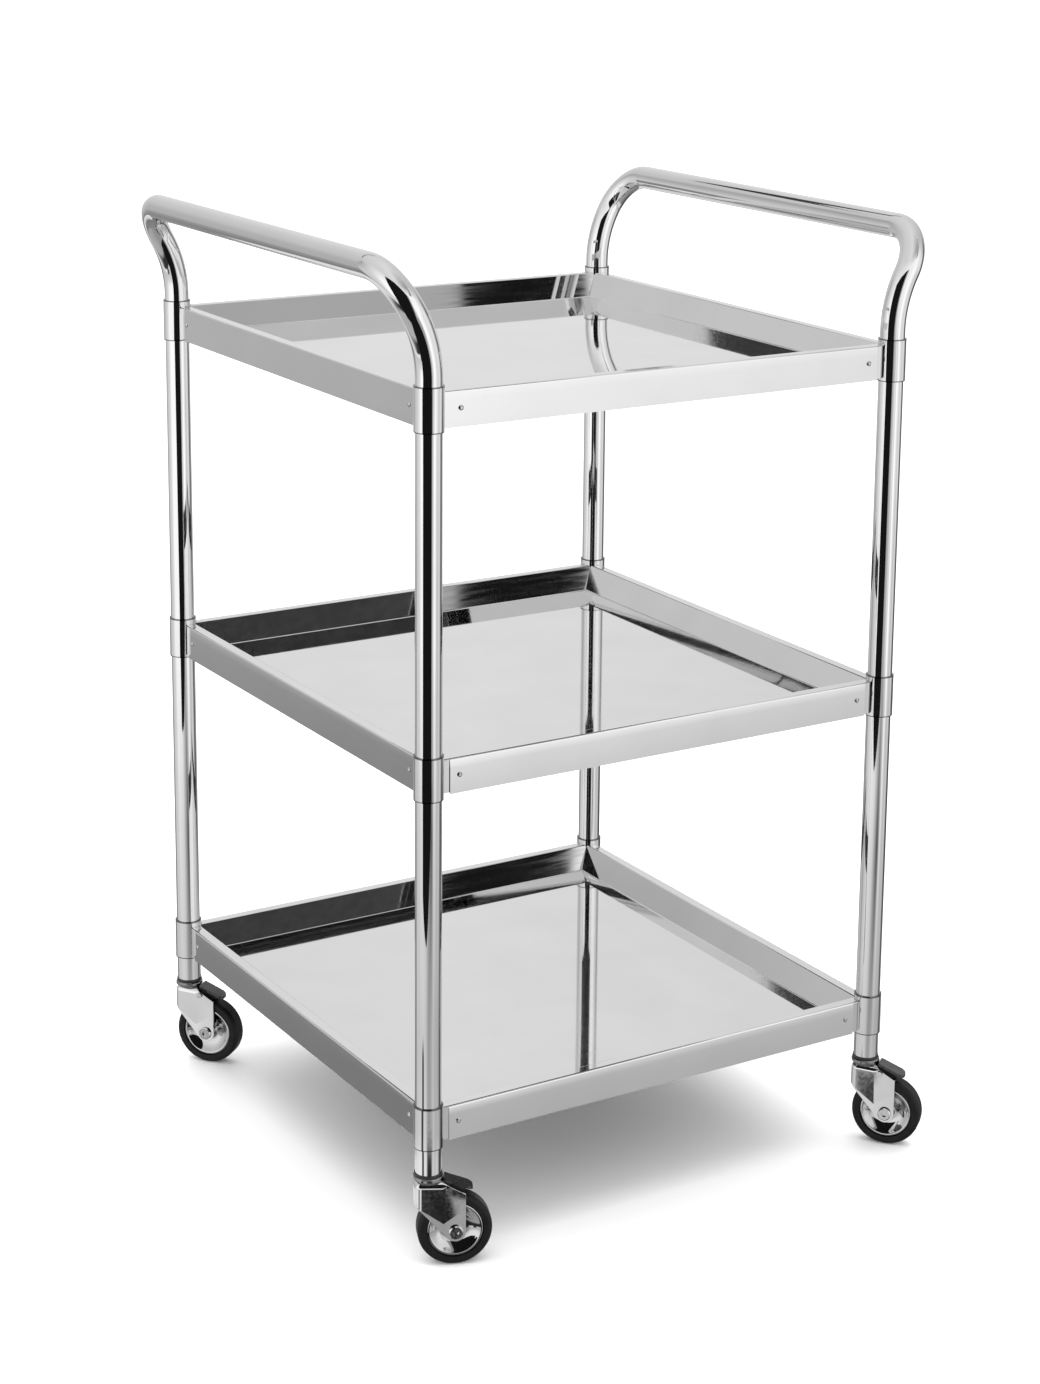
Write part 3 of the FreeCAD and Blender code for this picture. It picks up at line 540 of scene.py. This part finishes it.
def folded_fork(top, axle):
    """Faces of the fork's outer skin in its own axes: two folded side plates, crown and front wall."""
    rear = TRAIL + FORK_BOSS
    fold_top, knee = (CROWN_END, top), (rear, KNEE_HEIGHT)
    boss = arc_points((TRAIL, axle), FORK_BOSS, 0, -135, 12)
    plate = {"brow": (FORK_FRONT, top), "fold_top": fold_top, "heel": (rear, HEEL_HEIGHT), "knee": knee,
             "fold_foot": FOLD_FOOT, "shin": SHIN, "toe": (FORK_FRONT, FRONT_FOOT)}

    def leg_inset(point):
        return PLATE_INSET - LEG_LEAN * distance_from_line(point, FOLD_FOOT, knee)

    inset = {name: PLATE_INSET for name in plate}
    for name in ("brow", "toe"):
        inset[name] += NOSE_LEAN * distance_from_line(plate[name], fold_top, FOLD_FOOT)
    inset["shin"] = leg_inset(SHIN)

    bm = bmesh.new()
    sides = []
    for side in (-1, 1):
        verts = {name: bm.verts.new((s, side * (FORK_HALF_WIDTH - inset[name]), z))
                 for name, (s, z) in plate.items()}
        verts["boss"] = [bm.verts.new((s, side * (FORK_HALF_WIDTH - leg_inset((s, z))), z)) for s, z in boss]
        bm.faces.new([verts[n] for n in ("brow", "fold_top", "fold_foot", "toe")])
        bm.faces.new([verts[n] for n in ("fold_foot", "shin", "toe")])
        bm.faces.new([verts[n] for n in ("fold_top", "heel", "knee", "fold_foot")])
        bm.faces.new([verts["fold_foot"], verts["knee"], *verts["boss"], verts["shin"]])
        sides.append(verts)
    near, far = sides
    bm.faces.new([near["brow"], near["toe"], far["toe"], far["brow"]])
    bm.faces.new([near["brow"], near["fold_top"], far["fold_top"], far["brow"]])
    bmesh.ops.recalc_face_normals(bm, faces=bm.faces)

    bends = [bm.edges.get((verts["brow"], verts[name])) for verts in sides for name in ("toe", "fold_top")]
    bends.append(bm.edges.get((near["brow"], far["brow"])))
    bmesh.ops.bevel(bm, geom=bends, offset=FORK_BEND, segments=8, profile=0.5, affect="EDGES",
                    clamp_overlap=True)
    for face in bm.faces:
        face.smooth = True
    for edge in bm.edges:
        flat = len(edge.link_faces) == 2 and min(face.calc_area() for face in edge.link_faces) > FORK_FACET
        edge.smooth = edge.calc_face_angle(0) <= math.radians(1 if flat else 35)
    return bm


def pressed_fork(corner):
    """Fork pressed from one sheet: crown, narrow front wall, folded side plates.

    Open fault: the plates cut up to 2.2 mm into the sides of the tyre and up to 0.5 mm into the
    wheel disc's rim, and the crown has no hole for the king pin.
    """
    low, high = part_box(f"fork_{corner}")
    bm = folded_fork(high.z, low.z + FORK_BOSS)
    bm.transform(caster_place(corner))
    mesh = mesh_from(f"pressed_fork_{corner}", bm)
    mesh.materials.append(FINISHES["caster_fork"])
    piece = mesh_object(f"pressed_fork_{corner}", mesh)
    sheet = piece.modifiers.new("sheet", "SOLIDIFY")
    sheet.thickness = FORK_SHEET
    sheet.offset = -1
    sheet.use_even_offset = True
    edge = piece.modifiers.new("cut_edge", "BEVEL")
    edge.width = 0.3 * MM
    edge.segments = 2
    edge.limit_method = "ANGLE"
    edge.angle_limit = math.radians(60)
    edge.mark_sharp = True
    keep_flat(piece)
    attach(piece, f"caster_{corner}")
    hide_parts(f"fork_{corner}")


def round_rims(node, width):
    """Small rounding on the sharp edges of a CAD node."""
    piece = frame["nodes"][node]
    rims = piece.modifiers.new("round_rims", "BEVEL")
    rims.width = width
    rims.segments = 3
    rims.limit_method = "ANGLE"
    rims.angle_limit = math.radians(50)
    keep_flat(piece)


# --- studio ------------------------------------------------------------------------------------

# Levels, 0 to 1, that polished chrome shows of the studio round it: at each elevation, by azimuth.
# Both are in degrees, the azimuth from +X.
STUDIO = {
    -90: {-180: 0.55, 0: 0.55},
    -40: {-180: 0.68, -120: 0.56, -58: 0.58, 3: 0.20, 60: 0.45, 117: 0.48, 125: 0.68},
    -36: {-180: 0.18, -150: 0.18, -120: 0.15, -90: 0.15, -75: 0.80, -30: 0.80, -4: 0.20, 22: 0.50, 60: 0.80,
          117: 0.70, 150: 0.40},
    -29.2: {-180: 0.20, -150: 0.20, -135: 0.15, -120: 0.12, -92: 0.12, -78: 0.85, -58: 0.80, -36: 0.85,
            -15: 0.50, -4: 0.18, 9: 0.18, 22: 0.50, 60: 0.85, 117: 0.85, 140: 0.85, 165: 0.25},
    -28: {-180: 0.88, -174: 0.86, -171: 0.24, -157: 0.24, -154: 0.86, -135: 0.86, -124: 0.30, -118: 0.12,
          -92: 0.12, -80: 0.80, -58: 0.72, -36: 0.85, -15: 0.50, -4: 0.18, 9: 0.18, 22: 0.48, 60: 0.85,
          117: 0.85},
    -26.4: {-180: 0.90, -174: 0.86, -171: 0.24, -157: 0.24, -154: 0.86, -135: 0.86, -124: 0.30, -118: 0.12,
            -92: 0.12, -80: 0.80, -58: 0.72, -36: 0.80, -15: 0.50, -4: 0.18, 9: 0.18, 22: 0.48, 60: 0.85,
            117: 0.85},
    -26: {-180: 0.80, -174: 0.82, -171: 0.24, -158: 0.24, -155: 0.80, -140: 0.80, -119: 0.60, -100: 0.63,
          -80: 0.74, -58: 0.67, -36: 0.70, -15: 0.50, -4: 0.18, 9: 0.18, 22: 0.25, 40: 0.30, 60: 0.55,
          121: 0.46, 122.2: 0.74},
    -24.4: {-180: 0.78, -174: 0.80, -171: 0.24, -158: 0.24, -155: 0.80, -140: 0.77, -119: 0.59, -100: 0.63,
            -80: 0.74, -58: 0.68, -36: 0.68, -15: 0.50, -4: 0.18, 6: 0.18, 12: 0.65, 20: 0.60, 30: 0.28,
            45: 0.46, 60: 0.57, 121: 0.46, 122.2: 0.74},
    -24: {-180: 0.78, -160: 0.80, -140: 0.76, -119: 0.59, -100: 0.63, -80: 0.74, -58: 0.68, -36: 0.68,
          -15: 0.50, -4: 0.18, 6: 0.18, 12: 0.80, 20: 0.70, 30: 0.28, 45: 0.50, 60: 0.58, 121: 0.46,
          122.2: 0.74},
    -20: {-180: 0.86, -140: 0.80, -110: 0.50, -99: 0.28, -91: 0.38, -82: 0.62, -74: 0.86, -60: 0.78,
          -51: 0.72, -46: 0.72, -25: 0.77, -12: 0.50, -3: 0.15, 8: 0.15, 22: 0.60, 60: 0.66, 121: 0.50,
          122.2: 0.76, 160: 0.80},
    -16: {-180: 0.97, -140: 0.97, -99: 0.62, -91: 0.84, -82: 0.80, -75: 0.99, -63: 0.97, -60: 0.86,
          -51: 0.78, -46: 0.76, -36: 0.73, -25: 0.87, -12: 0.60, -2: 0.12, 7: 0.12, 20: 0.72, 60: 0.74,
          121: 0.54, 122.2: 0.77, 146: 0.80, 158: 0.84, 168: 0.90, 176: 0.97},
    -11: {-180: 0.99, -140: 0.98, -99: 0.70, -91: 0.92, -82: 0.80, -75: 0.99, -63: 0.98, -60: 0.93,
          -51: 0.86, -46: 0.84, -36: 0.80, -25: 0.90, -12: 0.72, -2: 0.14, 7: 0.14, 18: 0.74, 60: 0.78,
          100: 0.69, 121: 0.66, 122.2: 0.77, 146: 0.81, 158: 0.86, 168: 0.92, 176: 0.99},
    4: {-180: 0.99, -140: 0.98, -99: 0.90, -75: 0.99, -56: 0.98, -46: 0.88, -25: 0.90, -12: 0.76, -2: 0.30,
        7: 0.30, 18: 0.78, 60: 0.84, 100: 0.74, 122: 0.66, 158: 0.86, 176: 0.99},
    18: {-180: 0.93, -140: 0.94, -90: 0.93, -58: 0.97, -30: 0.85, 0: 0.55, 60: 0.84, 112: 0.75, 119: 0.74,
         125: 0.60, 140: 0.76},
    26: {-180: 0.90, -140: 0.92, -90: 0.95, -58: 0.97, -30: 0.84, 0: 0.70, 60: 0.84, 110: 0.75, 140: 0.78},
    45: {-180: 0.80, -120: 0.85, -70: 0.60, -58: 0.60, 0: 0.75, 60: 0.80},
    90: {-180: 0.85, 0: 0.85},
}
# Panels in the upper half: azimuth range at PANEL_ELEVATION, elevation range, lean in degrees of
# azimuth for each degree of elevation, and level.
PANELS = [
    ((-66.0, -55.8), (30, 56), 1.2, 0.64),
    ((-55.8, -50.9), (30, 56), 1.2, 0.08),
    ((-50.9, -43.0), (30, 56), 1.2, 0.90),
    ((91.0, 99.0), (33, 46), -3.0, 0.22),
]
PANEL_ELEVATION = 37
PANEL_EDGES = (0.4, 1.0)              # softness of the sides and of the upper and lower edge, degrees

# Boards that stand in a row in front, with their levels; the corners are on the floor.
BOARDS = (("black_board_left", 0.08), ("black_board_right", 0.08), ("grey_board", 0.60))
BOARD_CORNERS = ((-1.20, -0.47), (-0.82, -0.83), (-0.40, -1.62), (-0.22, -1.76))
BOARD_TOP = 1.6

SOFT_LIGHT = 1.5                      # world level that matt surfaces get
BACKDROP = 1.0                        # world level that the camera sees


def strength(level):
    """Radiance that shows at this display level in polished chrome."""
    return linear(level) / CHROME_LEVEL


def ring_light(tree, turn, levels):
    """Colour ramp over the azimuth, closed on itself."""
    ramp = add_node(tree, "ValToRGB", {"Fac": turn})
    stops = sorted(levels.items())
    stops.append((180, stops[0][1]))
    elements = ramp.color_ramp.elements
    while len(elements) < len(stops):
        elements.new(1.0)
    for element, (angle, level) in zip(elements, stops):
        element.position = (angle + 180) / 360
        element.color = grey(strength(level))
    return ramp.outputs["Color"]


def within(tree, angle, low, high, soft):
    """1 between low and high degrees, fading to 0 over soft degrees on both sides."""
    rise = add_node(tree, "MapRange", {"Value": angle, "From Min": low - soft, "From Max": low},
                    interpolation_type="SMOOTHSTEP").outputs["Result"]
    fall = add_node(tree, "MapRange", {"Value": angle, "From Min": high + soft, "From Max": high},
                    interpolation_type="SMOOTHSTEP").outputs["Result"]
    return maths(tree, "MULTIPLY", rise, fall)


def studio_light(tree):
    """The studio as a function of direction: the rings blended by elevation, then the panels."""
    direction = add_node(tree, "TexCoord").outputs["Generated"]
    axes = add_node(tree, "SeparateXYZ", {"Vector": direction}).outputs
    azimuth = maths(tree, "MULTIPLY", maths(tree, "ARCTAN2", axes["Y"], axes["X"]), 180 / math.pi)
    elevation = maths(tree, "MULTIPLY", maths(tree, "ARCSINE", axes["Z"]), 180 / math.pi)
    turn = add_node(tree, "MapRange", {"Value": azimuth, "From Min": -180, "From Max": 180}).outputs["Result"]
    heights = sorted(STUDIO)
    light = ring_light(tree, turn, STUDIO[heights[0]])
    for lower, upper in zip(heights, heights[1:]):
        share = add_node(tree, "MapRange", {"Value": elevation, "From Min": lower, "From Max": upper})
        light = mixed(tree, share.outputs["Result"], light, ring_light(tree, turn, STUDIO[upper]))
    side_edge, level_edge = PANEL_EDGES
    for turns, rises, lean, level in PANELS:
        shift = maths(tree, "MULTIPLY", maths(tree, "SUBTRACT", elevation, PANEL_ELEVATION), lean)
        upright = maths(tree, "SUBTRACT", azimuth, shift)
        mask = maths(tree, "MULTIPLY", within(tree, upright, *turns, side_edge),
                     within(tree, elevation, *rises, level_edge))
        light = mixed(tree, mask, light, grey(strength(level)))
    return light


def studio_world():
    """Pale backdrop for the camera, even light on matt surfaces, a lit studio in the chrome."""
    world = bpy.data.worlds.new("studio")
    scene.world = world
    world.use_nodes = True
    tree = world.node_tree
    tree.nodes.clear()
    rays = add_node(tree, "LightPath").outputs
    plain = mixed(tree, rays["Is Camera Ray"], grey(SOFT_LIGHT), grey(BACKDROP))
    seen = maths(tree, "MAXIMUM", rays["Is Camera Ray"], rays["Is Diffuse Ray"])
    colour = mixed(tree, seen, studio_light(tree), plain)
    background = add_node(tree, "Background", {"Color": colour, "Strength": 1.0})
    add_node(tree, "OutputWorld", {"Surface": background.outputs["Background"]}, is_active_output=True)


def flat_panel(name, corners, material):
    bm = bmesh.new()
    bm.faces.new([bm.verts.new(corner) for corner in corners])
    mesh = mesh_from(name, bm)
    mesh.materials.append(material)
    panel = mesh_object(name, mesh)
    return panel


def studio_floor():
    """Plain pale floor, which the chrome doesn't see: there the studio takes its place."""
    material, tree, shader, place = new_material("floor")
    tone = noise(tree, place, 0.5, 2.0)
    tree.links.new(grey_ramp(tree, tone, 0.90, 0.92), shader.inputs["Base Color"])
    shader.inputs["Roughness"].default_value = 0.35
    shader.inputs["Specular IOR Level"].default_value = 0.15
    far = 30.0
    floor = flat_panel("floor", [(-far, -far, 0), (far, -far, 0), (far, far, 0), (-far, far, 0)], material)
    floor.visible_glossy = False


def boards():
    """Two black boards and a grey one standing in front, which only the chrome sees."""
    for (name, level), start, end in zip(BOARDS, BOARD_CORNERS, BOARD_CORNERS[1:]):
        material, tree, shader, place = new_material(name)
        glow = strength(level)
        tone = noise(tree, place, 0.3, 2.0)
        tree.links.new(grey_ramp(tree, tone, 0.9 * glow, 1.1 * glow), shader.inputs["Emission Color"])
        shader.inputs["Emission Strength"].default_value = 1.0
        shader.inputs["Base Color"].default_value = grey(0.0)
        shader.inputs["Specular IOR Level"].default_value = 0.0
        board = flat_panel(name, [(*start, 0), (*end, 0), (*end, BOARD_TOP), (*start, BOARD_TOP)], material)
        board.visible_camera = False
        board.visible_diffuse = False
        board.visible_shadow = False


def overhead_light():
    """Broad, soft light from above, a little from behind and from the right."""
    lamp = bpy.data.lights.new("overhead", "SUN")
    lamp.energy = 2.4
    lamp.angle = math.radians(70)
    holder = bpy.data.objects.new("overhead", lamp)
    scene.collection.objects.link(holder)
    holder.rotation_euler = (math.radians(-12), math.radians(8), 0)
    holder.visible_glossy = False


def photo_camera():
    """Camera on the left front of the trolley, a little above its handles."""
    place = (-1.4364, -2.382, 1.305)
    azimuth, elevation, roll = map(math.radians, (-32.215, 12.618, 0.734))
    back = Vector((math.sin(azimuth) * math.cos(elevation), -math.cos(azimuth) * math.cos(elevation),
                   math.sin(elevation)))
    right = Vector((math.cos(azimuth), math.sin(azimuth), 0))
    up = back.cross(right)
    tilted_right = right * math.cos(roll) + up * math.sin(roll)
    tilted_up = up * math.cos(roll) - right * math.sin(roll)
    data = bpy.data.cameras.new("camera")
    data.sensor_width = 36.0
    data.lens = 73.02486
    data.shift_x, data.shift_y = -0.0404624, -0.1589595
    data.clip_start, data.clip_end = 0.1, 100
    camera = bpy.data.objects.new("camera", data)
    scene.collection.objects.link(camera)
    turn = Matrix((tilted_right, tilted_up, back)).transposed()
    camera.matrix_world = Matrix.Translation(place) @ turn.to_4x4()
    scene.camera = camera


# --- build -------------------------------------------------------------------------------------

for node in frame["nodes"].values():
    for socket in node.material_slots:
        socket.material = FINISHES[socket.material.name.split(".")[0]]
for tier in ("bottom", "middle", "top"):
    pressed_tray(tier)
    for corner in CORNERS:
        round_rims(f"clamp_{tier}_{corner}", 0.4 * MM)
bent_handles()
for corner in CORNERS:
    chromed_dish(corner)
    pressed_fork(corner)

studio_world()
studio_floor()
boards()
overhead_light()
photo_camera()
scene.view_settings.view_transform = "Standard"
